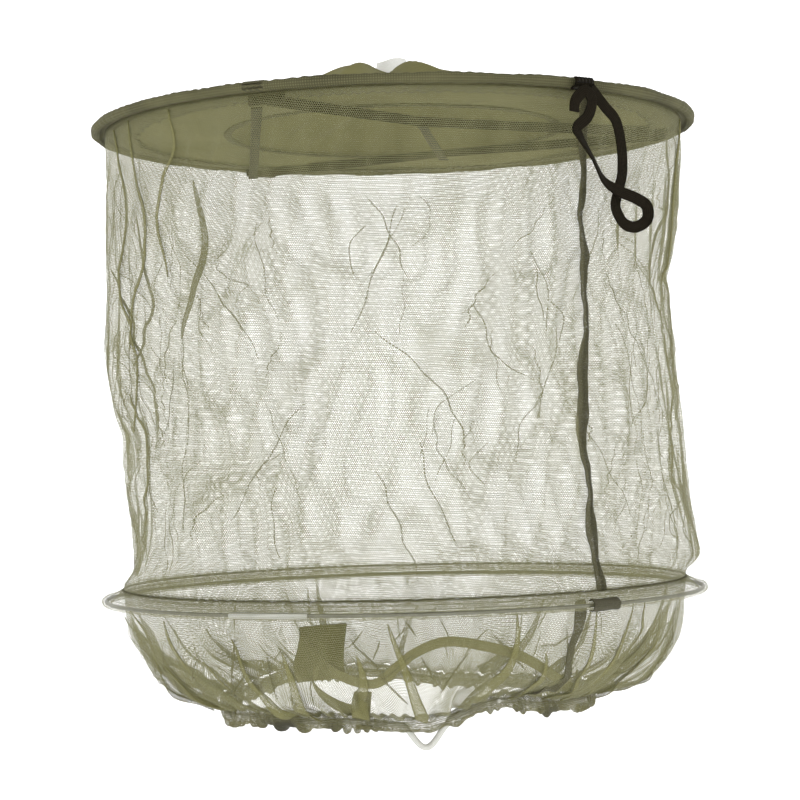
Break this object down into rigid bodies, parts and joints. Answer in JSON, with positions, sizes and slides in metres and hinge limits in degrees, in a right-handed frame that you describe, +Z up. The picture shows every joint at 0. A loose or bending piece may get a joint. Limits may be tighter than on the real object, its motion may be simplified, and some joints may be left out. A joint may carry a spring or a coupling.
{
  "type": "beekeeping veil",
  "caption": "Pop-up beekeeping veil: sprung wire hoops hold a cloth crown and a net tube, with a gathered neck skirt, head harness and arm loops.",
  "frame": {"origin": "centre of the upper hoop, where the crown seats on the top of a head", "axes": "+Z up along the axis of the two hoops; side seam at -Y; back patch of the neck hem at +Y; +X to the wearer's side"},
  "size_m": [0.3452, 0.3546, 0.3868],
  "materials": {
    "crown_cloth": "matte woven",
    "binding_cloth": "matte",
    "netting": "sheer mesh",
    "harness_elastic": "matte knitted",
    "black_elastic": "matte ribbed",
    "olive_tape": "matte",
    "white_elastic": "matte braided",
    "label": "satin",
    "spring_steel": "bright drawn",
    "sleeve": "satin"
  },
  "bodies": {
    "crown": {"top_panel": "crown_cloth", "crown_pocket": "crown_cloth", "crown_seam": "binding_cloth", "crown_label": "label", "upper_hoop_wire": "spring_steel", "upper_hoop_sleeve": "sleeve", "upper_hoop_binding": "binding_cloth", "rim_tacks": "binding_cloth", "harness_strap_near": "harness_elastic", "harness_strap_far": "harness_elastic", "harness_strap_side": "harness_elastic", "harness_link": "harness_elastic", "harness_tabs": "harness_elastic", "storage_loop_tack": "black_elastic", "veil_net": "netting", "veil_seam": "binding_cloth"},
    "lower_hoop": {"lower_hoop_wire": "spring_steel", "lower_hoop_sleeve": "sleeve", "lower_hoop_casing": "netting", "casing_overlap": "binding_cloth", "skirt_net": "netting", "skirt_seam": "binding_cloth"},
    "neck_hem": {"neck_hem": "netting", "neck_elastic": "white_elastic", "anchor_patch": "crown_cloth", "arm_loop_tabs": "binding_cloth"},
    "storage_loop": {"storage_loop": "black_elastic"},
    "arm_loop_left": {"arm_loop_left": "olive_tape"},
    "arm_loop_right": {"arm_loop_right": "olive_tape"}
  },
  "joints": [
    {"name": "veil_collapse", "type": "slide", "parent": "crown", "child": "lower_hoop", "axis": [0, 0, 1], "range_m": [0, 0.22], "deforming": ["veil_net", "veil_seam"]},
    {"name": "skirt_fold", "type": "slide", "parent": "lower_hoop", "child": "neck_hem", "axis": [0, 0, 1], "range_m": [0, 0.05], "deforming": ["skirt_net", "skirt_seam"]},
    {"name": "storage_loop_swing", "type": "hinge", "parent": "crown", "child": "storage_loop", "pos_m": [0, -0.1776, 0.0005], "axis": [-1, 0, 0], "range_deg": [0, 165]},
    {"name": "arm_loop_left_swing", "type": "hinge", "parent": "neck_hem", "child": "arm_loop_left", "pos_m": [-0.00413, 0.09461, -0.318], "axis": [-0.3785, -0.9251, -0.0291], "range_deg": [0, 110]},
    {"name": "arm_loop_right_swing", "type": "hinge", "parent": "neck_hem", "child": "arm_loop_right", "pos_m": [0.00413, 0.09461, -0.318], "axis": [-0.3705, 0.9286, 0.0232], "range_deg": [0, 160]}
  ]
}
